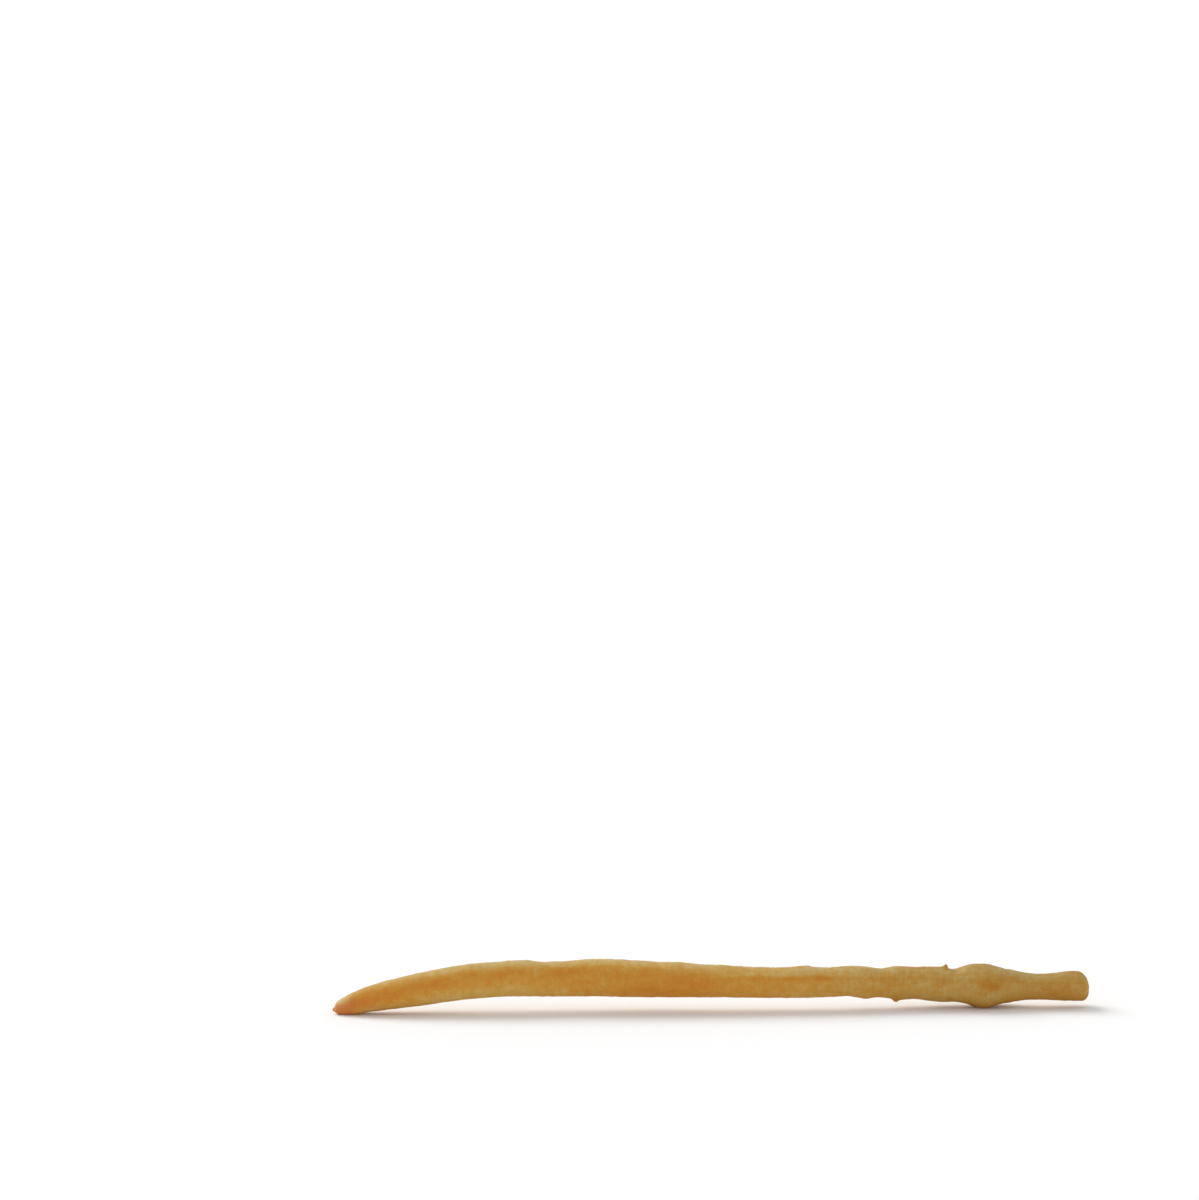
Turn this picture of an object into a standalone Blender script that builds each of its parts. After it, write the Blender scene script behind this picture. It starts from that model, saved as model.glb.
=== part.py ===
"""A grissini breadstick, rolled and stretched by hand, lying as it would be put down on a table.

Written for Blender 4.5, in metres with +Z up. The stick runs along X, from its pinched tip at -X to its
blunt, flared end at +X, and it arches over the table between two small flat spots, one under the tip
and one under the knot near the blunt end. The origin is on the table, under the middle of its box.
"""

import math

import bmesh
import bpy
from mathutils import Vector

# ---- driving dimensions ----------------------------------------------------------------------------

LENGTH = 0.2249             # from the point of the tip to the blunt end
ROPE_RADIUS = 0.00447       # the rope of dough where it neither swells nor thins
SPOT_DEPTH = 0.0003         # how much of the round underside each flat spot takes away

# Where the hand left the rope thicker or thinner: distance from the tip, change of radius, spread.
SWELLS = {
    "shoulder": (0.043, 0.00072, 0.017),
    "belly": (0.084, 0.00108, 0.019),
    "wrist": (0.066, -0.00026, 0.005),
    "slack": (0.144, -0.00012, 0.006),
    "ripple": (0.1565, 0.00040, 0.0045),
    "crease": (0.1626, -0.00048, 0.0024),
    "collar": (0.1672, 0.00042, 0.0026),
    "rise": (0.1795, 0.00070, 0.0048),
    "notch": (0.1851, -0.00015, 0.0016),
    "knot": (0.1934, 0.00205, 0.0050),
    "neck": (0.2090, -0.00067, 0.0062),
    "flare": (0.2190, 0.00022, 0.0036),
}

# How the stick bends away from its own straight line: distance, offset, spread.
RISES = {
    "sag": (0.027, -0.00022, 0.005),
    "dip": (0.0645, -0.00075, 0.0065),
    "hump": (0.154, 0.00065, 0.006),
    "collar hump": (0.171, 0.00045, 0.005),
    "knot's near side": (0.1880, 0.00035, 0.0028),
    "kicked-up end": (0.2215, 0.00080, 0.006),
}
DRIFTS = {
    "towards the back": (0.062, 0.0011, 0.022),
    "towards the front": (0.132, -0.0012, 0.020),
    "back again": (0.176, 0.0006, 0.011),
    "turned-in end": (0.222, -0.0009, 0.012),
}

# Points of dough pulled out of the crust, and hollows pressed into it:
# distance, turn round the stick from its top, height, width.
PULLS = {
    "upper nib": (0.1820, 0.0, 0.0014, 0.00066),
    "lower nib": (0.1673, math.pi, 0.0010, 0.00110),
    "beside the lower nib": (0.1702, math.pi, 0.0004, 0.00220),
    "notch before the knot": (0.1851, 0.0, -0.00222, 0.00170),
    "hollow under the knot": (0.1990, math.pi, -0.00045, 0.00260),
    "shoulder of the knot": (0.2040, 0.0, 0.00030, 0.00330),
    "foot under the tip": (0.0055, math.pi, 0.00030, 0.00330),
    "foot under the knot": (0.1934, math.pi, 0.00025, 0.00400),
    "worn edge of the blunt end": (0.2246, 0.0, -0.00060, 0.00210),
    "dent in the shoulder": (0.0490, 0.0, -0.00024, 0.00420),
    "ledge of the hump": (0.0573, 0.0, 0.00035, 0.00170),
    "dent before the middle": (0.0962, 0.0, -0.00030, 0.00220),
    "ledge in the middle": (0.1397, 0.0, 0.00080, 0.00400),
}

AXIS_START = 0.01219        # height of the stick's straight line, drawn back to the tip
AXIS_SLOPE = -0.0312        # its fall along the stick
DROOP = 0.0108              # how far the tip hangs below that line
DROOP_REACH = 0.070         # length of the drooping part

TIP_PINCH = 0.75            # share of the radius that the pinch takes away at the tip
TIP_PINCH_REACH = 0.0065    # length over which the rope fills out again
POINT_RADIUS = 0.00050      # the small lip on the tip
POINT_START = 0.0002        # where the lip begins to widen into the tip
POINT_END = 0.0011          # where it has become the tip
POINT_DROP = 0.0003         # how far it lies below the middle of the tip

END_ROUND = 0.0027          # how far back from the blunt end its edge is rounded
END_SQUARENESS = 2.15       # 2 would be an ellipse, and more is squarer
END_SLANT = 0.10            # lean of the blunt face: its lower edge reaches further out
END_SLANT_REACH = 0.006

DEPTH_SHARE = 0.95          # front-to-back radius as a share of the up-and-down radius
DEPTH_SWING = 0.04          # how much that share changes
DEPTH_WAVE = 0.088          # over this length

SIDES = 22
COARSE_STEP = 0.0024        # spacing of the sections along the plain rope
END_SECTIONS = 6            # sections in the rounded edge of the blunt end
# Where the sections are closer together: distance, reach, spacing.
FINE_PLACES = (
    (0.0, 0.0035, 0.00022),
    (0.1665, 0.0050, 0.00085),
    (0.1835, 0.0038, 0.00045),
    (0.1935, 0.0080, 0.00120),
    (0.2245, 0.0090, 0.00110),
)

CRUST_COLOUR = (0.59, 0.36, 0.10, 1.0)
CRUST_ROUGHNESS = 0.72


# ---- the shape as functions ------------------------------------------------------------------------

def hill(distance, centre, spread):
    """A smooth hump: 1 at its centre, falling away to nothing on both sides."""
    return math.exp(-0.5 * ((distance - centre) / spread) ** 2)


def total(hills, distance):
    """The sum of a table's hills at one distance from the tip."""
    return sum(size * hill(distance, centre, spread) for centre, size, spread in hills.values())


def ease(low, high, value):
    """0 below low, 1 above high, and a smooth step between."""
    share = min(max((value - low) / (high - low), 0.0), 1.0)
    return share * share * (3.0 - 2.0 * share)


def end_rounding(distance):
    """1 along the stick, falling to 0 round the edge of the blunt end."""
    gone = max(distance - (LENGTH - END_ROUND), 0.0) / END_ROUND
    return (1.0 - min(gone, 1.0) ** END_SQUARENESS) ** (1.0 / END_SQUARENESS)


def rope_radius(distance):
    """Half the stick's thickness at this distance from the tip."""
    rope = ROPE_RADIUS + total(SWELLS, distance)
    pinched = rope * (1.0 - TIP_PINCH * math.exp(-distance / TIP_PINCH_REACH))
    tip = ease(POINT_START, POINT_END, distance)
    return (POINT_RADIUS + (pinched - POINT_RADIUS) * tip) * end_rounding(distance)


def centre(distance):
    """The middle of the stick: a falling line, the drooping tip and the bends left by the hand."""
    left_to_droop = max(1.0 - distance / DROOP_REACH, 0.0)
    point = 1.0 - ease(POINT_START, POINT_END, distance)
    height = AXIS_START + AXIS_SLOPE * distance - DROOP * left_to_droop ** 2
    height += total(RISES, distance) - POINT_DROP * point
    return Vector((distance, total(DRIFTS, distance), height))


def pulled(distance, turn, radius):
    """How far the dough has been pulled out, or pressed in, at this place on the crust."""
    height = 0.0
    for place, pull_turn, size, width in PULLS.values():
        off = (turn - pull_turn + math.pi) % math.tau - math.pi
        height += size * math.exp(-((distance - place) ** 2 + (off * radius) ** 2) / width ** 2)
    return height


def crust_point(distance, turn):
    """The crust at this distance from the tip and this turn, counted from the top to the front (-Y)."""
    radius = rope_radius(distance)
    reach = radius + pulled(distance, turn, radius)
    depth = DEPTH_SHARE + DEPTH_SWING * math.sin(math.tau * distance / DEPTH_WAVE)
    across = -reach * depth * math.sin(turn)
    up = reach * math.cos(turn)
    slant = END_SLANT * math.exp((distance - LENGTH) / END_SLANT_REACH)
    return centre(distance) + Vector((-slant * up, across, up))


def section_step(distance):
    """The spacing of the sections here."""
    return COARSE_STEP - max(
        (COARSE_STEP - step) * math.exp(-((distance - place) / reach) ** 2)
        for place, reach, step in FINE_PLACES
    )


def section_places():
    """The distances of all the sections from the tip."""
    places = [0.0]
    last_plain = LENGTH - END_ROUND
    while places[-1] + section_step(places[-1]) < last_plain:
        places.append(places[-1] + section_step(places[-1]))
    for count in range(END_SECTIONS + 1):
        quarter_turn = 0.5 * math.pi * count / (END_SECTIONS + 0.5)
        places.append(last_plain + END_ROUND * math.sin(quarter_turn))
    return places


# ---- making the stick ------------------------------------------------------------------------------

def shape_rod(bm):
    """Turn a plain rod, cut into sections, into the stick."""
    places = section_places()
    bmesh.ops.create_cone(bm, cap_ends=True, segments=SIDES, radius1=1.0, radius2=1.0, depth=1.0)
    long_edges = [edge for edge in bm.edges if abs(edge.verts[0].co.z - edge.verts[1].co.z) > 0.5]
    bmesh.ops.subdivide_edges(bm, edges=long_edges, cuts=len(places) - 2)
    for vert in bm.verts:
        section = round((vert.co.z + 0.5) * (len(places) - 1))
        turn = math.atan2(-vert.co.x, vert.co.y)
        vert.co = crust_point(places[section], turn)


def press_flat_spots(bm):
    """Cut the underside level, which leaves one flat spot under the tip and one under the knot."""
    lowest = min(vert.co.z for vert in bm.verts)
    everything = bm.verts[:] + bm.edges[:] + bm.faces[:]
    cut = bmesh.ops.bisect_plane(
        bm, geom=everything, dist=1e-7, plane_co=(0.0, 0.0, lowest + SPOT_DEPTH),
        plane_no=(0.0, 0.0, -1.0), clear_outer=True,
    )
    rims = [item for item in cut["geom_cut"] if isinstance(item, bmesh.types.BMEdge)]
    bmesh.ops.holes_fill(bm, edges=rims)


def stand_on_origin(bm):
    """Put the origin on the table, under the middle of the stick's box."""
    lows = [min(vert.co[axis] for vert in bm.verts) for axis in range(3)]
    highs = [max(vert.co[axis] for vert in bm.verts) for axis in range(3)]
    foot = Vector(((lows[0] + highs[0]) / 2, (lows[1] + highs[1]) / 2, lows[2]))
    bmesh.ops.translate(bm, verts=bm.verts, vec=-foot)


def crust_material():
    """Golden, dry, matt crust."""
    material = bpy.data.materials.new("crust")
    material.use_nodes = True
    shader = material.node_tree.nodes["Principled BSDF"]
    shader.inputs["Base Color"].default_value = CRUST_COLOUR
    shader.inputs["Roughness"].default_value = CRUST_ROUGHNESS
    shader.inputs["Metallic"].default_value = 0.0
    return material


def breadstick():
    """The whole stick: one piece of baked dough."""
    bm = bmesh.new()
    shape_rod(bm)
    press_flat_spots(bm)
    stand_on_origin(bm)
    mesh = bpy.data.meshes.new("breadstick")
    bm.to_mesh(mesh)
    bm.free()
    mesh.shade_smooth()
    mesh.set_sharp_from_angle(angle=math.radians(50.0))
    mesh.materials.append(crust_material())
    return bpy.data.objects.new("breadstick", mesh)


def main():
    for leftover in list(bpy.data.objects):
        bpy.data.objects.remove(leftover, do_unlink=True)
    collection = bpy.data.collections.new("grissini breadstick")
    bpy.context.scene.collection.children.link(collection)
    collection.objects.link(breadstick())


main()
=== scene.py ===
"""Looks of a hand-stretched grissini breadstick: its crust, its dusting of semolina, and a plain studio."""

import math
import random

import bmesh
import bpy
import numpy as np
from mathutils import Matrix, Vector, noise


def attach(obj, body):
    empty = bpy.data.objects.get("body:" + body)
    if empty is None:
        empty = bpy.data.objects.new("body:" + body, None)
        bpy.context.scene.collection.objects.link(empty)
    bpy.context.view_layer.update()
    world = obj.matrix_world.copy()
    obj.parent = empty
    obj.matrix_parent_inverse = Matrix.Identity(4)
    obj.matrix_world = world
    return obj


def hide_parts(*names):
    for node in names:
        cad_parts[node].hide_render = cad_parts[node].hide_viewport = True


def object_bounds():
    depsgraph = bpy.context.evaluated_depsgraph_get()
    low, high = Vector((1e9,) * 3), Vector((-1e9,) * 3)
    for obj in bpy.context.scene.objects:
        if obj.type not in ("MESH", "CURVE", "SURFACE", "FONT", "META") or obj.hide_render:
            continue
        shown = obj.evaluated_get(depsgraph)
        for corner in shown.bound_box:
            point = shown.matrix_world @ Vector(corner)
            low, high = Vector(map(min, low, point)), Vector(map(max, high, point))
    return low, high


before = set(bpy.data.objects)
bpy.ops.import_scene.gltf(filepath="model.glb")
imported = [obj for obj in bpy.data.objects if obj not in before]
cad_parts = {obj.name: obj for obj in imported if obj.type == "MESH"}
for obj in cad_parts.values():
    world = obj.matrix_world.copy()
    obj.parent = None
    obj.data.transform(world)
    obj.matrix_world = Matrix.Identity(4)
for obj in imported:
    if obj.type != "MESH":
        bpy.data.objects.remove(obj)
cad_low, cad_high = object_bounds()

MM = 0.001

# ---- the stick, as places along it and round it ----------------------------------------------------
# "Along" is the distance from the toasted tip. "Turn" goes round the stick: 0 is its top, a quarter
# turn is the side that faces the camera, half a turn is the underside, three quarters is the back.

STICK_LENGTH = cad_high.x - cad_low.x
STICK_MIDDLE = (cad_low + cad_high) / 2
SLICE = 1.5 * MM            # length of the slices whose middles give the stick's own centre line

NOISE_GAIN = 1.5            # stretches the noise to about -1 to 1
OCTAVE_FALL = 0.8           # how fast the finer octaves of the noise grow weaker,
OCTAVE_STEP = 2.0           # and how much finer each is than the one before
SEED_STEPS = (17.13, 5.71, 9.37)            # how far apart two seeds lie in the noise

END_FACE_RADII = (4.3 * MM, 2.0 * MM)       # the blunt end's face fades in between these radii,
END_FACE_DEPTHS = (-3.2 * MM, -1.3 * MM)    # and between these distances from the end


def hill(value, centre, spread):
    """A smooth hump: 1 at its centre, falling away on both sides."""
    return np.exp(-0.5 * ((value - centre) / spread) ** 2)


def ease(low, high, value):
    """0 at low, 1 at high, and a smooth step between. Low may be the larger of the two."""
    share = np.clip((value - low) / (high - low), 0.0, 1.0)
    return share * share * (3.0 - 2.0 * share)


def turns_apart(turn, other):
    """How far apart two turns are, from -0.5 to 0.5 of a turn."""
    return (turn - other + 0.5) % 1.0 - 0.5


class Lie:
    """Where each point of a mesh lies on the stick: how far along it, and how far round it."""

    def __init__(self, points):
        self.points = points
        self.along = points[:, 0] - cad_low.x
        middles, places = [], []
        for start in np.arange(0.0, STICK_LENGTH + SLICE, SLICE):
            held = points[(self.along >= start) & (self.along < start + SLICE)]
            if len(held):
                middles.append((held.min(0) + held.max(0)) / 2)
                places.append(start + SLICE / 2)
        middles = np.array(middles)
        centre_y = np.interp(self.along, places, middles[:, 1])
        centre_z = np.interp(self.along, places, middles[:, 2])
        across = points[:, 1] - centre_y
        up = points[:, 2] - centre_z
        self.radius = np.hypot(across, up)
        self.turn = (np.arctan2(-across, up) / math.tau) % 1.0

    def noise(self, size, seed, octaves=1, along=1.0, around=1.0):
        """Noise over the crust, -1 to 1. Sizes are in metres, and along or around stretches it."""
        shift = Vector([seed * step for step in SEED_STEPS])
        angle = self.turn * math.tau
        xs = self.along / (size * along)
        ys = self.radius * np.cos(angle) / (size * around)
        zs = self.radius * np.sin(angle) / (size * around)
        places = [Vector(place) + shift for place in zip(xs, ys, zs)]
        if octaves == 1:
            values = [noise.noise(place) for place in places]
        else:
            values = [noise.fractal(place, OCTAVE_FALL, OCTAVE_STEP, octaves) for place in places]
        return np.clip(np.array(values) * NOISE_GAIN, -1.0, 1.0)

    def spot(self, along, turn, length, width):
        """1 in the middle of an oval patch on the crust, fading away round it."""
        far_along = (self.along - along) / length
        far_round = turns_apart(self.turn, turn) * math.tau * self.radius / width
        return np.exp(-(far_along ** 2 + far_round ** 2))

    def spots(self, table):
        """The sum of a table's patches: along, turn, length, width, strength."""
        total = np.zeros(len(self.points))
        for along, turn, length, width, strength in table:
            total += strength * self.spot(along, turn, length, width)
        return total


def end_face(lie):
    """1 in the middle of the blunt end's face, where all turns meet, fading to 0 at its edge."""
    return ease(*END_FACE_RADII, lie.radius) * ease(*END_FACE_DEPTHS, lie.along - STICK_LENGTH)


# ---- the crust's relief ----------------------------------------------------------------------------

SMOOTHING_LOSS = 0.0135     # share of the radius that smoothing the solid's facets takes away

# Layers of relief all over: height, size, seed, octaves, stretch along.
RELIEF_LAYERS = (
    (0.110 * MM, 9.0 * MM, 1, 1, 1.3),      # slow swellings
    (0.055 * MM, 3.2 * MM, 2, 2, 1.0),      # lumps
    (0.045 * MM, 2.4 * MM, 3, 1, 5.0),      # stretch marks
    (0.022 * MM, 0.8 * MM, 6, 2, 1.0),      # grain
)
RING_HEIGHT = 0.05 * MM     # rings round the stick, only in some places
END_RELIEF = 0.16 * MM      # the blunt end's face is rougher than the rest

# Points, bumps and hollows left by stretching: along, turn, height, width.
BUMPS = (
    (12.0 * MM, 0.46, -0.16 * MM, 3.2 * MM),
    (41.5 * MM, 0.00, 0.16 * MM, 2.8 * MM),
    (57.8 * MM, 0.00, 0.16 * MM, 0.80 * MM),
    (103.2 * MM, 0.00, 0.20 * MM, 2.4 * MM),
    (115.3 * MM, 0.00, 0.16 * MM, 2.2 * MM),
    (129.0 * MM, 0.00, 0.16 * MM, 0.80 * MM),
    (141.0 * MM, 0.98, 0.16 * MM, 0.90 * MM),
    (153.0 * MM, 0.47, -0.32 * MM, 2.4 * MM),
    (158.4 * MM, 0.47, 0.24 * MM, 2.0 * MM),
    (167.3 * MM, 0.50, 0.40 * MM, 0.75 * MM),
    (182.2 * MM, 0.00, 0.45 * MM, 0.42 * MM),
    (184.8 * MM, 0.00, -0.16 * MM, 1.1 * MM),
    (197.0 * MM, 0.46, -0.18 * MM, 3.0 * MM),
)

# Fine cracks round the front, where the dough was stretched: along, turn, reach, depth, lean. The reach
# is in turns, and the lean is how far along the stick a crack would run in one turn.
FRONT_CRACKS = (
    (117.8 * MM, 0.17, 0.13, 0.06 * MM, 2.0 * MM),
    (126.0 * MM, 0.23, 0.16, 0.17 * MM, -5.0 * MM),
    (128.8 * MM, 0.15, 0.09, 0.05 * MM, 3.0 * MM),
    (141.6 * MM, 0.08, 0.10, 0.07 * MM, 0.5 * MM),
    (161.0 * MM, 0.22, 0.12, 0.04 * MM, 1.0 * MM),
    (181.1 * MM, 0.30, 0.09, 0.10 * MM, 1.5 * MM),
    (184.6 * MM, 0.20, 0.18, 0.05 * MM, -1.0 * MM),
)
FRONT_CRACK_WIDTH = 0.26 * MM

# The other cracks are on the underside, the back and the top. Each draws its numbers between these.
OTHER_CRACKS = 26
CRACK_TURNS = (0.35, 1.1)
CRACK_REACHES = (0.08, 0.22)
CRACK_DEPTHS = (0.04 * MM, 0.10 * MM)
CRACK_LEANS = (-4.0 * MM, 4.0 * MM)
CRACK_WIDTHS = (0.20 * MM, 0.32 * MM)

CRACK_BEND = 1.3 * MM       # how far a crack strays from its line in long bends,
CRACK_WIGGLE = 0.7 * MM     # and in short ones
CRACK_LIP = 0.45            # height of its lips as a share of its depth

BLISTERS = 70
BLISTER_SIZES = (0.5 * MM, 1.25 * MM)
BLISTER_WIDTHS = (0.7, 1.0)             # as shares of the size
BLISTER_HEIGHTS = (0.07, 0.15)          # as shares of the size


def crack(lie, along, turn, reach, depth, lean, width):
    """One groove part of the way round, leaning along the stick, with a low lip on both sides."""
    off_turn = turns_apart(lie.turn, turn)
    off = lie.along - along - lean * off_turn
    off -= CRACK_BEND * lie.noise(6 * MM, 31) + CRACK_WIGGLE * lie.noise(2.2 * MM, 32)
    arc = ease(1.0, 0.5, np.abs(off_turn) / reach) * ease(-0.9, 0.3, lie.noise(2.8 * MM, 33))
    lip = np.exp(-((np.abs(off) - 2.0 * width) / width) ** 2)
    return depth * arc * (np.exp(-(off / width) ** 2) - CRACK_LIP * lip)


def cracks(lie, draw):
    """How deep all the fine cracks are: the ones on the front, and the others."""
    depth = np.zeros(len(lie.points))
    for along, turn, reach, deep, lean in FRONT_CRACKS:
        depth += crack(lie, along, turn, reach, deep, lean, FRONT_CRACK_WIDTH)
    for _ in range(OTHER_CRACKS):
        along = draw.uniform(12 * MM, STICK_LENGTH - 6 * MM)
        turn = draw.uniform(*CRACK_TURNS) % 1.0
        reach = draw.uniform(*CRACK_REACHES)
        deep = draw.uniform(*CRACK_DEPTHS)
        lean = draw.uniform(*CRACK_LEANS)
        depth += crack(lie, along, turn, reach, deep, lean, draw.uniform(*CRACK_WIDTHS))
    return depth


def blisters(lie, draw):
    """Small bubbles that rose under the crust."""
    height = np.zeros(len(lie.points))
    for _ in range(BLISTERS):
        along = draw.uniform(6 * MM, STICK_LENGTH - 4 * MM)
        size = draw.uniform(*BLISTER_SIZES)
        spot = lie.spot(along, draw.random(), size, size * draw.uniform(*BLISTER_WIDTHS))
        height += size * draw.uniform(*BLISTER_HEIGHTS) * spot
    return height


def crust_relief(lie):
    """How far each point of the crust stands out of the smooth stick, and how deep the cracks are."""
    draw = random.Random(11)
    relief = SMOOTHING_LOSS * lie.radius
    for height, size, seed, octaves, along in RELIEF_LAYERS:
        relief += height * lie.noise(size, seed, octaves, along)
    ringed = ease(0.0, 0.5, lie.noise(12 * MM, 4))
    relief += RING_HEIGHT * ringed * lie.noise(1.5 * MM, 5, around=4.0)
    relief += END_RELIEF * end_face(lie) * lie.noise(2.6 * MM, 7, octaves=2)
    relief += blisters(lie, draw)
    cracked = cracks(lie, draw)
    for along, turn, height, width in BUMPS:
        relief += height * lie.spot(along, turn, width, width)
    return relief - cracked, cracked


# ---- how the crust has browned ---------------------------------------------------------------------

# Browning round the stick: turn, browning. Its top is palest, and its front and underside have baked most;
# the front's warmer orange is partly painted light, warm light bounced onto it.
BROWNING_AND_LIGHT_ROUND = (
    (0.00, 0.26), (0.08, 0.28), (0.13, 0.42), (0.18, 0.67), (0.24, 0.66), (0.30, 0.57), (0.36, 0.50),
    (0.43, 0.50), (0.50, 0.60), (0.57, 0.46), (0.66, 0.28), (0.78, 0.34), (0.90, 0.22),
)

# Browned patches, and one paler one at the tip, which is painted light where light falls on the tip's end:
# along, turn, length, width, strength.
BROWNED_AND_LIT_PATCHES = (
    (2.2 * MM, 0.16, 2.6 * MM, 1.6 * MM, -0.24),
    (10.5 * MM, 0.08, 6.0 * MM, 1.7 * MM, 0.19),
    (31 * MM, 0.15, 4.0 * MM, 1.7 * MM, 0.10),
    (40 * MM, 0.14, 3.2 * MM, 1.5 * MM, 0.14),
    (51 * MM, 0.15, 5.0 * MM, 1.6 * MM, 0.10),
    (65.5 * MM, 0.13, 4.5 * MM, 1.1 * MM, 0.17),
    (68 * MM, 0.15, 4.6 * MM, 1.6 * MM, 0.17),
    (72 * MM, 0.15, 1.6 * MM, 1.0 * MM, 0.10),
    (76.0 * MM, 0.13, 3.5 * MM, 1.0 * MM, 0.14),
    (92.5 * MM, 0.14, 1.6 * MM, 1.1 * MM, 0.14),
    (96.5 * MM, 0.14, 1.4 * MM, 1.0 * MM, 0.10),
    (106 * MM, 0.23, 8.0 * MM, 2.6 * MM, 0.10),
    (110 * MM, 0.15, 1.4 * MM, 1.0 * MM, 0.12),
    (144.5 * MM, 0.16, 2.8 * MM, 1.1 * MM, 0.20),
    (159.5 * MM, 0.14, 5.0 * MM, 4.0 * MM, 0.08),
    (165.5 * MM, 0.22, 1.9 * MM, 1.3 * MM, 0.20),
    (167.3 * MM, 0.47, 1.6 * MM, 1.6 * MM, 0.25),
    (180.5 * MM, 0.20, 2.4 * MM, 1.3 * MM, 0.15),
    (182.3 * MM, 0.02, 0.9 * MM, 1.0 * MM, 0.25),
    (195.0 * MM, 0.22, 2.8 * MM, 1.4 * MM, 0.40),
    (206.5 * MM, 0.17, 5.0 * MM, 4.0 * MM, 0.07),
    (215.0 * MM, 0.27, 6.0 * MM, 3.2 * MM, 0.12),
)

TOAST = 0.70                # how much more the tip has baked,
TOAST_REACH = 12 * MM       # fading over this length
TOP_TOAST = 0.26            # share of it that the very top of the tip gets,
TOP_TOAST_REACH = 7 * MM    # fading over this length
CHIN_SPARED = 0.3           # share of it that the low side of the front is spared,
BACK_SPARED = 0.25          # and the back
POINT_TOAST = 0.20          # how much more still the very point has baked,
POINT_TOAST_REACH = 2.5 * MM

# Bands along the front that come in gradually: turn, spread, strength, from where, to where.
LONG_BANDS = (
    (0.115, 0.035, 0.14, 130 * MM, 95 * MM),
    (0.430, 0.050, 0.18, 180 * MM, 205 * MM),
    (0.210, 0.060, -0.25, 125 * MM, 165 * MM),
)

# Short bands along the front: turn, spread, strength, along, spread along. The paler one near the tip is
# partly painted light, thrown up onto the low side of the front.
SHORT_BANDS = (
    (0.36, 0.07, 0.34, 98 * MM, 13 * MM),
    (0.35, 0.08, -0.20, 40 * MM, 16 * MM),
)

# The browner and the paler side of the crisp edge below the pale top: turn, spread, strength.
CRISP_EDGE = (
    (0.182, 0.020, 0.06),
    (0.138, 0.014, -0.12),
)
CRISP_MIDDLE = 136 * MM     # where along the stick that edge is,
CRISP_SPREAD = 11 * MM      # and how far it reaches

TURN_WANDER = 0.02          # how far the browning strays round the stick
TOP_BAKE = 0.05             # how much more the top has baked towards the blunt end
BAND_BAKE = -0.03           # how much less the middle of the front has
END_BAKE = 0.46             # the blunt end's face has baked evenly
BAKE_MOTTLE = 0.05          # uneven browning, coarse and fine alike

# Patches on the underside and the back. Each draws its numbers between these.
BACK_PATCHES = 60
BACK_PATCH_SIZES = (1.4 * MM, 4.5 * MM)
BACK_PATCH_TURNS = (0.42, 1.0)
BACK_PATCH_STRENGTHS = (-0.12, 0.20)
BACK_PATCH_STRETCH = 1.6

# How much deeper the whole colour is along the top, along the front, and towards the blunt end, where it is
# painted shade: the light falling off.
TOP_DEPTH = 0.36
BAND_DEPTH = 0.10
END_PAINTED_SHADE = 0.53


def front_band(lie):
    """1 along the middle of the front, from the belly on, fading to 0 above and below."""
    return hill(lie.turn, 0.27, 0.07) * ease(60 * MM, 90 * MM, lie.along)


def toasting(lie, front):
    """How much more the tip has baked: least on its top, and most at its point."""
    from_top = np.abs(turns_apart(lie.turn, 0.0))
    top_toast = TOP_TOAST * np.exp(-lie.along / TOP_TOAST_REACH)
    crown = 1.0 - ease(0.30, 0.06, from_top) * (1.0 - top_toast)
    spared = CHIN_SPARED * front * hill(lie.turn, 0.37, 0.06) + BACK_SPARED * (1.0 - front)
    toasted = TOAST * np.exp(-lie.along / TOAST_REACH) * crown * (1.0 - spared)
    return toasted + POINT_TOAST * np.exp(-lie.along / POINT_TOAST_REACH)


def front_bands(lie, front, wander):
    """The browner and the paler bands along the front."""
    bands = BAND_BAKE * front_band(lie)
    for turn, spread, strength, start, full in LONG_BANDS:
        bands += strength * front * hill(lie.turn, turn, spread) * ease(start, full, lie.along)
    for turn, spread, strength, middle, reach in SHORT_BANDS:
        bands += strength * front * hill(lie.turn, turn, spread) * hill(lie.along, middle, reach)
    for turn, spread, strength in CRISP_EDGE:
        edge = hill(lie.turn + wander, turn, spread) * hill(lie.along, CRISP_MIDDLE, CRISP_SPREAD)
        bands += strength * edge
    return bands


def back_patches(lie, draw):
    """Browner and paler patches scattered over the underside and the back."""
    patches = np.zeros(len(lie.points))
    for _ in range(BACK_PATCHES):
        size = draw.uniform(*BACK_PATCH_SIZES)
        turn = draw.uniform(*BACK_PATCH_TURNS)
        place = draw.uniform(5 * MM, STICK_LENGTH)
        strength = draw.uniform(*BACK_PATCH_STRENGTHS)
        patches += strength * lie.spot(place, turn, size * BACK_PATCH_STRETCH, size)
    return patches


def browning_and_painted_light(lie):
    """How dark each point of the crust has baked, 0 pale to 1 toasted, with painted light in it: paler
    patches at the tip and low on the front, and part of the front's warmer orange.
    """
    wander = TURN_WANDER * lie.noise(14 * MM, 40)
    turns, values = zip(*BROWNING_AND_LIGHT_ROUND)
    bake = np.interp((lie.turn + wander) % 1.0, turns, values, period=1.0)
    off_top = turns_apart(lie.turn, 0.0)
    front = ease(0.0, 0.05, off_top) * ease(0.5, 0.45, np.abs(off_top))
    bake += toasting(lie, front) + front_bands(lie, front, wander)
    top = hill(turns_apart(lie.turn, 0.02), 0.0, 0.08)
    bake += TOP_BAKE * top * ease(125 * MM, 185 * MM, lie.along)
    bake += (END_BAKE - bake) * end_face(lie)
    bake += lie.spots(BROWNED_AND_LIT_PATCHES) + back_patches(lie, random.Random(23))
    bake += BAKE_MOTTLE * lie.noise(7 * MM, 41, octaves=2, along=1.6)
    bake += BAKE_MOTTLE * lie.noise(2.2 * MM, 42, octaves=2)
    return np.clip(bake, 0.0, 1.0)


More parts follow.
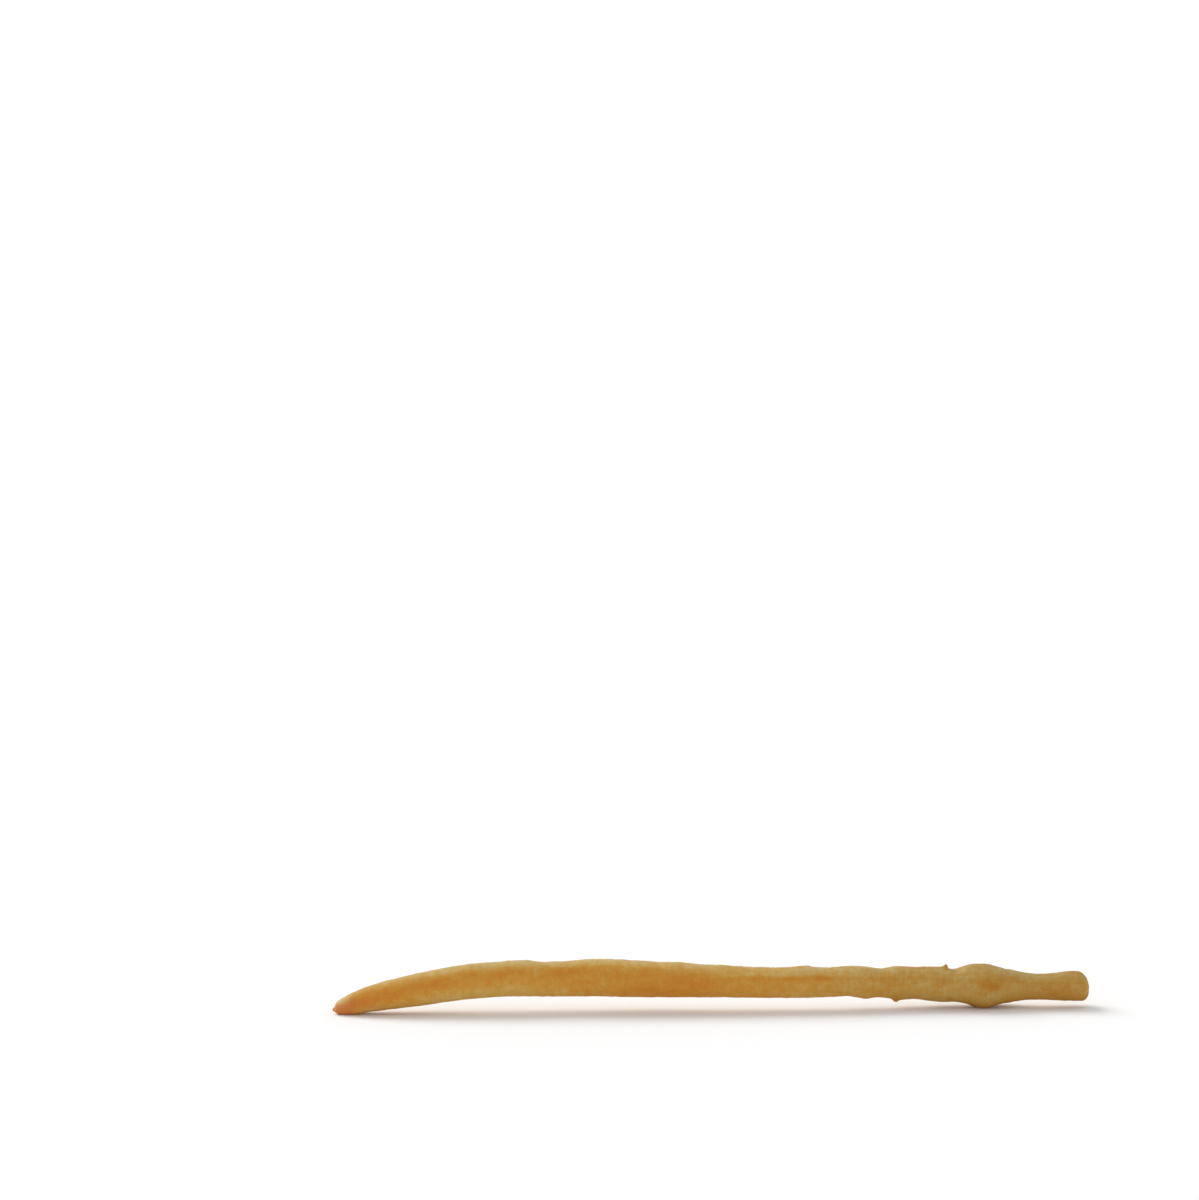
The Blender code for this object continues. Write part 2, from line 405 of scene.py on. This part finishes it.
def deepening_and_painted_shade(lie):
    """Where the whole crust is a deeper colour: along the top and the front, and towards the blunt end,
    where it is painted shade.
    """
    top = hill(turns_apart(lie.turn, 0.0), 0.0, 0.075) * (1.0 - end_face(lie))
    towards_end = ease(120 * MM, 205 * MM, lie.along)
    return TOP_DEPTH * top + BAND_DEPTH * front_band(lie) + END_PAINTED_SHADE * towards_end


# ---- flour on the crust ----------------------------------------------------------------------------

FLOUR_ANYWHERE = 0.18       # how much of the dusting lies everywhere,
FLOUR_ON_TOP = 0.82         # and how much more along the top
FLOUR_AT_ENDS = 0.35        # share of the top's flour that reaches the two ends,
FLOUR_IN_MIDDLE = 0.65      # and the share that only the middle has
BACK_FILM = 0.12            # share of the back's colour that an even film of flour hides

# Patches with more of the even film of flour: along, turn, length, width, strength. The first and the third
# are painted light instead: the lit end of the tip, and light thrown up onto the low front.
FILMS_AND_LIT_PATCHES = (
    (2.6 * MM, 0.11, 3.0 * MM, 1.7 * MM, 0.26),
    (5.0 * MM, 0.70, 7.0 * MM, 4.0 * MM, 0.10),
    (11.5 * MM, 0.38, 5.0 * MM, 1.5 * MM, 0.14),
    (78.0 * MM, 0.02, 16.0 * MM, 1.3 * MM, 0.14),
    (97.3 * MM, 0.98, 1.6 * MM, 0.9 * MM, 0.34),
)


def dusting(lie):
    """How much flour clings to each point of the crust, 0 to 1. Most of it lies along the top."""
    cover = ease(-0.4, 0.6, lie.noise(5 * MM, 51, octaves=2, along=1.8))
    top = hill(turns_apart(lie.turn, 0.96), 0.0, 0.09)
    middle = FLOUR_AT_ENDS + FLOUR_IN_MIDDLE * hill(lie.along, 115 * MM, 30 * MM)
    on_top = FLOUR_ON_TOP * top * middle * (1.0 - end_face(lie))
    return np.clip(cover * (FLOUR_ANYWHERE + on_top), 0.0, 1.0)


def bloom(lie):
    """A thin, even film of flour, most of it on the back, and two paler patches of painted light near the
    tip, as a share of the crust's colour.
    """
    back = ease(0.50, 0.64, lie.turn) * ease(1.0, 0.93, lie.turn)
    film = BACK_FILM * back * ease(0.0, 24 * MM, lie.along) + lie.spots(FILMS_AND_LIT_PATCHES)
    return film * (1.0 - end_face(lie))


# ---- shader maths as plain expressions -------------------------------------------------------------

class Wire:
    """A socket of a node tree, so that maths on it can be written as Python."""

    def __init__(self, nodes, socket):
        self.nodes = nodes
        self.socket = socket

    def maths(self, operation, first, second):
        return self.nodes.add("ShaderNodeMath", {"operation": operation}, {0: first, 1: second})

    def __add__(self, other):
        return self.maths("ADD", self, other)

    def __radd__(self, other):
        return self.maths("ADD", other, self)

    def __sub__(self, other):
        return self.maths("SUBTRACT", self, other)

    def __rsub__(self, other):
        return self.maths("SUBTRACT", other, self)

    def __mul__(self, other):
        return self.maths("MULTIPLY", self, other)

    def __rmul__(self, other):
        return self.maths("MULTIPLY", other, self)


class Nodes:
    """A node tree being made, for a material or for the world."""

    def __init__(self, owner):
        self.owner = owner
        owner.use_nodes = True
        self.tree = owner.node_tree

    def add(self, kind, settings=None, inputs=None, output=0):
        """Add one node: first its settings, then what goes into it. Returns the wire that comes out."""
        made = self.tree.nodes.new(kind)
        for name, value in (settings or {}).items():
            if name == "stops":
                self.set_stops(made.color_ramp, value)
            else:
                setattr(made, name, value)
        self.feed(made, inputs or {})
        return Wire(self, made.outputs[output])

    def feed(self, node, inputs):
        """Give a node's sockets their numbers, colours or wires."""
        for name, value in inputs.items():
            if isinstance(value, Wire):
                self.tree.links.new(value.socket, node.inputs[name])
            else:
                node.inputs[name].default_value = value

    @staticmethod
    def set_stops(ramp, stops):
        """Give a colour ramp its stops, which are places and colours."""
        while len(ramp.elements) < len(stops):
            ramp.elements.new(0.5)
        for element, (place, colour) in zip(ramp.elements, stops):
            element.position = place
            element.color = (*colour, 1.0)

    def attribute(self, name):
        """One of the numbers kept for each point of the mesh."""
        return self.add("ShaderNodeAttribute", {"attribute_name": name}, output="Fac")

    def noise(self, size, detail, stretch=(1.0, 1.0, 1.0)):
        """Noise on the object's own coordinates, 0 to 1, with grains of this size in metres."""
        place = self.add("ShaderNodeTexCoord", output="Object")
        scale = tuple(1.0 / (size * share) for share in stretch)
        place = self.add("ShaderNodeVectorMath", {"operation": "MULTIPLY"}, {0: place, 1: scale})
        return self.add("ShaderNodeTexNoise", None, {"Vector": place, "Scale": 1.0, "Detail": detail})

    def ramp(self, value, stops):
        return self.add("ShaderNodeValToRGB", {"stops": stops}, {"Fac": value})

    def range(self, value, low, high, to_low=0.0, to_high=1.0):
        """Stretch a value from one range to another, stopping at the ends."""
        return self.add("ShaderNodeMapRange", {"clamp": True}, {
            "Value": value, "From Min": low, "From Max": high, "To Min": to_low, "To Max": to_high,
        })

    def mix(self, share, first, second, blend="MIX"):
        """Mix two colours. The share is that of the second."""
        return self.add(
            "ShaderNodeMix", {"data_type": "RGBA", "blend_type": blend},
            {0: share, 6: first, 7: second}, output=2,
        )


def new_finish(name):
    """A new material's nodes, and its shader."""
    nodes = Nodes(bpy.data.materials.new(name))
    return nodes, nodes.tree.nodes["Principled BSDF"]


# ---- finishes --------------------------------------------------------------------------------------

# From pale dough, through golden and orange, to toasted.
CRUST_STOPS = (
    (0.00, (0.655, 0.540, 0.275)),
    (0.20, (0.622, 0.445, 0.160)),
    (0.40, (0.598, 0.355, 0.082)),
    (0.60, (0.575, 0.280, 0.037)),
    (0.75, (0.567, 0.237, 0.022)),
    (0.88, (0.560, 0.204, 0.021)),
    (1.00, (0.545, 0.170, 0.026)),
)
# The deeper colour, which is also the painted shade towards the blunt end.
DEEPER_AND_SHADED = (0.60, 0.585, 0.53, 1.0)
FLOUR_COLOUR = (0.69, 0.61, 0.41, 1.0)
SEMOLINA_STOPS = (
    (0.35, (0.62, 0.45, 0.19)),
    (0.65, (0.71, 0.59, 0.36)),
)

# The crust's patterns: size, detail and, for two of them, stretch.
MOTTLE = (1.6 * MM, 3.0, (1.5, 1.0, 1.0))
HOOPS = (4.0 * MM, 2.0, (0.2, 1.0, 1.0))
GRAIN = (0.45 * MM, 2.0)
SPECK = (0.28 * MM, 1.0)
MEAN = 0.5                  # the middle value of each

# How much each of them changes the browning, and how much the cracks and pores do.
MOTTLE_BAKE, GRAIN_BAKE, HOOP_BAKE = 0.44, 0.36, 0.28
CRACK_PALENESS, PORE_BAKE = 0.13, 0.12

# How much each of them adds to the fine relief, and how high that is.
MOTTLE_RISE, GRAIN_RISE, SPECK_RISE, HOOP_RISE = 0.30, 0.42, 0.20, 0.08
FINE_RELIEF = 0.20 * MM
FINE_RELIEF_STRENGTH = 0.95

DUST_COVER = 0.45           # how much of the crust's colour the dusting hides
FULL_CRACK = 0.1 * MM       # a crack this deep shows its paler dough in full


def crust_finish():
    """Golden crust: browned in patches, toasted at the tip, finely grained and faintly dusted."""
    nodes, shader = new_finish("crust")
    mottle, hoops = nodes.noise(*MOTTLE), nodes.noise(*HOOPS)
    grain, speck = nodes.noise(*GRAIN), nodes.noise(*SPECK)
    pores = nodes.range(speck, 0.43, 0.30)
    # The browning carries some painted light: paler patches near the tip and part of the front's warmer
    # orange.
    baked_and_lit = nodes.attribute("bake") + (mottle - MEAN) * MOTTLE_BAKE + (grain - MEAN) * GRAIN_BAKE
    baked_and_lit = baked_and_lit + (hoops - MEAN) * HOOP_BAKE
    baked_and_lit = baked_and_lit - nodes.attribute("crack") * CRACK_PALENESS + pores * PORE_BAKE
    colour = nodes.ramp(baked_and_lit, CRUST_STOPS)
    # Deeper along the top and the front, and painted shade towards the blunt end.
    colour = nodes.mix(nodes.attribute("deep"), colour, DEEPER_AND_SHADED, "MULTIPLY")
    dust = nodes.range(speck * 0.5 + grain * 0.3 + nodes.attribute("flour") * 0.40, 0.54, 0.80)
    # Flour, and near the tip a little painted light.
    colour = nodes.mix(dust * DUST_COVER + nodes.attribute("bloom"), colour, FLOUR_COLOUR)
    height = mottle * MOTTLE_RISE + grain * GRAIN_RISE + speck * SPECK_RISE + hoops * HOOP_RISE
    bump = nodes.add("ShaderNodeBump", None, {
        "Strength": FINE_RELIEF_STRENGTH, "Distance": FINE_RELIEF, "Height": height,
    })
    nodes.feed(shader, {
        "Base Color": colour,
        "Roughness": nodes.range(grain + dust * 0.5, 0.3, 1.0, 0.60, 0.85),
        "Normal": bump,
        "Specular IOR Level": 0.22,
        "Subsurface Weight": 0.08,
        "Subsurface Radius": (1.0, 0.45, 0.15),
        "Subsurface Scale": 1.0 * MM,
    })
    return nodes.owner


def semolina_finish():
    """Dry, pale grains of semolina."""
    nodes, shader = new_finish("semolina")
    nodes.feed(shader, {
        "Base Color": nodes.ramp(nodes.noise(2.0 * MM, 1.0), SEMOLINA_STOPS),
        "Roughness": 0.7,
        "Specular IOR Level": 0.4,
    })
    return nodes.owner


# ---- pieces ----------------------------------------------------------------------------------------

SUBDIVISIONS = 2            # rounds of smoothing that turn the solid's facets into a crust
LONGEST_QUAD = 0.42 * MM    # sections further apart than this are cut once more
MERGED = 1e-6               # points of the solid closer than this are one
JOIN_ANGLE = math.radians(60)       # triangles up to this angle apart are joined into quads

SEMOLINA_GRAINS = 380
SEMOLINA_SIZES = (0.06 * MM, 0.17 * MM, 0.08 * MM)          # smallest, largest, most common
SEMOLINA_SHAPES = ((0.8, 1.5), (0.8, 1.2), (0.35, 0.6))     # stretch of its length, width, thickness
SEMOLINA_PROUD = 0.25       # how far a grain's middle stands off the crust, as a share of its size
SEMOLINA_LOWEST = 0.6 * MM  # no grain is stuck lower than this


def vectors_of(items, name):
    """One vector for each point of a mesh, from one of its lists."""
    flat = np.empty(len(items) * 3, np.float32)
    items.foreach_get(name, flat)
    return flat.reshape(-1, 3).astype(float)


def mesh_of(bm, name):
    """Turn a finished bmesh into a mesh."""
    mesh = bpy.data.meshes.new(name)
    bm.to_mesh(mesh)
    bm.free()
    return mesh


def piece_of(mesh, name, material):
    """Give a mesh its one material, and put it in the scene."""
    mesh.materials.clear()
    mesh.materials.append(material)
    piece = bpy.data.objects.new(name, mesh)
    bpy.context.scene.collection.objects.link(piece)
    return piece


def smooth_copy(node):
    """A fine, smooth mesh of a CAD node: its facets joined into quads and subdivided."""
    bm = bmesh.new()
    bm.from_mesh(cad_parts[node].data)
    bmesh.ops.remove_doubles(bm, verts=bm.verts, dist=MERGED)
    bmesh.ops.join_triangles(
        bm, faces=bm.faces, angle_face_threshold=JOIN_ANGLE, angle_shape_threshold=JOIN_ANGLE,
    )
    holder = bpy.data.objects.new("coarse", mesh_of(bm, "coarse"))
    bpy.context.scene.collection.objects.link(holder)
    smoothing = holder.modifiers.new("smooth", "SUBSURF")
    smoothing.levels = smoothing.render_levels = SUBDIVISIONS
    view = holder.evaluated_get(bpy.context.evaluated_depsgraph_get())
    fine = bpy.data.meshes.new_from_object(view)
    bpy.data.objects.remove(holder)
    cut_long_quads(fine)
    return fine


def cut_long_quads(mesh):
    """Halve the quads of the plain stretches along the stick, so that all are much the same size."""
    bm = bmesh.new()
    bm.from_mesh(mesh)
    long_edges = [
        edge for edge in bm.edges
        if abs(edge.verts[0].co.x - edge.verts[1].co.x) > LONGEST_QUAD
    ]
    bmesh.ops.subdivide_edges(bm, edges=long_edges, cuts=1)
    bm.to_mesh(mesh)
    bm.free()


def keep(mesh, name, values):
    """Store one number for each point of a mesh, for its material to read."""
    attribute = mesh.attributes.new(name, "FLOAT", "POINT")
    attribute.data.foreach_set("value", np.asarray(values, np.float32))


def crust_piece():
    """The whole crust, laid on the solid's own shape."""
    mesh = smooth_copy("breadstick")
    mesh.name = "crust"
    lie = Lie(vectors_of(mesh.vertices, "co"))
    relief, cracked = crust_relief(lie)
    moved = lie.points + vectors_of(mesh.vertex_normals, "vector") * relief[:, None]
    moved[:, 2] = np.maximum(moved[:, 2], cad_low.z)
    mesh.vertices.foreach_set("co", moved.astype(np.float32).ravel())
    mesh.update()
    # The browning and the film of flour carry some painted light, and the deepening carries painted shade
    # towards the blunt end.
    keep(mesh, "bake", browning_and_painted_light(lie))
    keep(mesh, "deep", deepening_and_painted_shade(lie))
    keep(mesh, "flour", dusting(lie))
    keep(mesh, "bloom", bloom(lie))
    keep(mesh, "crack", np.clip(cracked / FULL_CRACK, 0.0, 1.0))
    mesh.shade_smooth()
    return piece_of(mesh, "crust", crust_finish())


def semolina_piece(crust):
    """Grains of semolina stuck to the crust, thickest along the top."""
    draw = random.Random(7)
    cover = np.empty(len(crust.data.vertices), np.float32)
    crust.data.attributes["flour"].data.foreach_get("value", cover)
    points = vectors_of(crust.data.vertices, "co")
    normals = vectors_of(crust.data.vertex_normals, "vector")
    bm = bmesh.new()
    placed = 0
    while placed < SEMOLINA_GRAINS:
        at = draw.randrange(len(points))
        if draw.random() > cover[at] ** 3 or points[at][2] < SEMOLINA_LOWEST:
            continue
        size = draw.triangular(*SEMOLINA_SIZES)
        made = bmesh.ops.create_icosphere(bm, subdivisions=1, radius=size)["verts"]
        stretch = Vector([draw.uniform(*shape) for shape in SEMOLINA_SHAPES])
        bmesh.ops.scale(bm, verts=made, vec=stretch)
        outward = Vector(normals[at])
        bmesh.ops.rotate(bm, verts=made, matrix=outward.to_track_quat("Z", "Y").to_matrix())
        bmesh.ops.translate(bm, verts=made, vec=Vector(points[at]) + outward * size * SEMOLINA_PROUD)
        placed += 1
    mesh = mesh_of(bm, "semolina_grains")
    mesh.shade_smooth()
    return piece_of(mesh, "semolina_grains", semolina_finish())


# ---- studio ----------------------------------------------------------------------------------------

FLOOR_SIZE = 80.0
FLOOR_GAP = 0.02 * MM       # keeps the floor clear of the stick's flat spots
FLOOR_COLOUR = (0.90, 0.90, 0.90, 1.0)

LENS = 142.5                # millimetres, on a 36 mm sensor
CAMERA_DISTANCE = 1.4145
CAMERA_REACH = 200.0        # how far it sees
CAMERA_TURN = 2.8           # degrees: the camera stands a little towards the tip
CAMERA_TILT = 8.43          # degrees below level
STICK_RIGHT = 1.355         # degrees from the middle of the view to the stick's middle
STICK_BELOW = 4.6255        # degrees below the middle of the view

SUN_STRENGTH = 1.80
SUN_SOFTNESS = 38.0         # degrees across
SUN_HEIGHT = 42.0           # degrees above level
SUN_SIDE = 48.0             # degrees towards the tip, from straight behind the stick

SKY_HORIZON = 1.0           # how bright the sky is low down,
SKY_TOP = 0.72              # and overhead
SKY_HEIGHTS = (0.09, 0.40)  # heights between which it dims, where straight up is 1


def floor():
    """A wide, pale, matt floor."""
    bm = bmesh.new()
    bmesh.ops.create_grid(bm, x_segments=1, y_segments=1, size=FLOOR_SIZE / 2)
    bmesh.ops.translate(bm, verts=bm.verts, vec=(0.0, 0.0, cad_low.z - FLOOR_GAP))
    nodes, shader = new_finish("floor")
    nodes.feed(shader, {"Base Color": FLOOR_COLOUR, "Roughness": 0.9, "Specular IOR Level": 0.0})
    piece_of(mesh_of(bm, "floor"), "floor", nodes.owner)


def sky():
    """Even, pale light from all round, a little dimmer overhead."""
    nodes = Nodes(bpy.data.worlds.new("studio"))
    bpy.context.scene.world = nodes.owner
    direction = nodes.add("ShaderNodeTexCoord", output="Generated")
    height = nodes.add("ShaderNodeSeparateXYZ", None, {0: direction}, output="Z")
    light = nodes.range(height, *SKY_HEIGHTS, SKY_HORIZON, SKY_TOP)
    background = nodes.tree.nodes["Background"]
    nodes.feed(background, {"Color": (1.0, 1.0, 1.0, 1.0), "Strength": light})


def sun():
    """The one soft light, from behind the stick and a little to the tip's side."""
    light = bpy.data.lights.new("softbox", "SUN")
    light.energy = SUN_STRENGTH
    light.angle = math.radians(SUN_SOFTNESS)
    lamp = bpy.data.objects.new("softbox", light)
    height, side = math.radians(SUN_HEIGHT), math.radians(SUN_SIDE)
    towards = Vector((
        -math.sin(side) * math.cos(height), math.cos(side) * math.cos(height), math.sin(height),
    ))
    lamp.rotation_euler = towards.to_track_quat("Z", "Y").to_euler()
    bpy.context.scene.collection.objects.link(lamp)


def camera():
    """A long lens, a little above the stick, which lies low in the view."""
    turn, tilt = math.radians(CAMERA_TURN), math.radians(CAMERA_TILT)
    forward = Vector((
        math.sin(turn) * math.cos(tilt), math.cos(turn) * math.cos(tilt), -math.sin(tilt),
    ))
    right = Vector((math.cos(turn), -math.sin(turn), 0.0))
    up = right.cross(forward)
    ray = forward + right * math.tan(math.radians(STICK_RIGHT)) - up * math.tan(math.radians(STICK_BELOW))
    data = bpy.data.cameras.new("camera")
    data.lens = LENS
    data.clip_end = CAMERA_REACH
    eye = bpy.data.objects.new("camera", data)
    eye.location = STICK_MIDDLE - ray.normalized() * CAMERA_DISTANCE
    eye.rotation_mode = "QUATERNION"
    eye.rotation_quaternion = forward.to_track_quat("-Z", "Y")
    bpy.context.scene.collection.objects.link(eye)
    bpy.context.scene.camera = eye


# ---- putting it together ---------------------------------------------------------------------------

camera()
floor()
sky()
sun()
bpy.context.scene.view_settings.view_transform = "Standard"

crust = crust_piece()
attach(crust, "root")
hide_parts("breadstick")

semolina = semolina_piece(crust)
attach(semolina, "root")
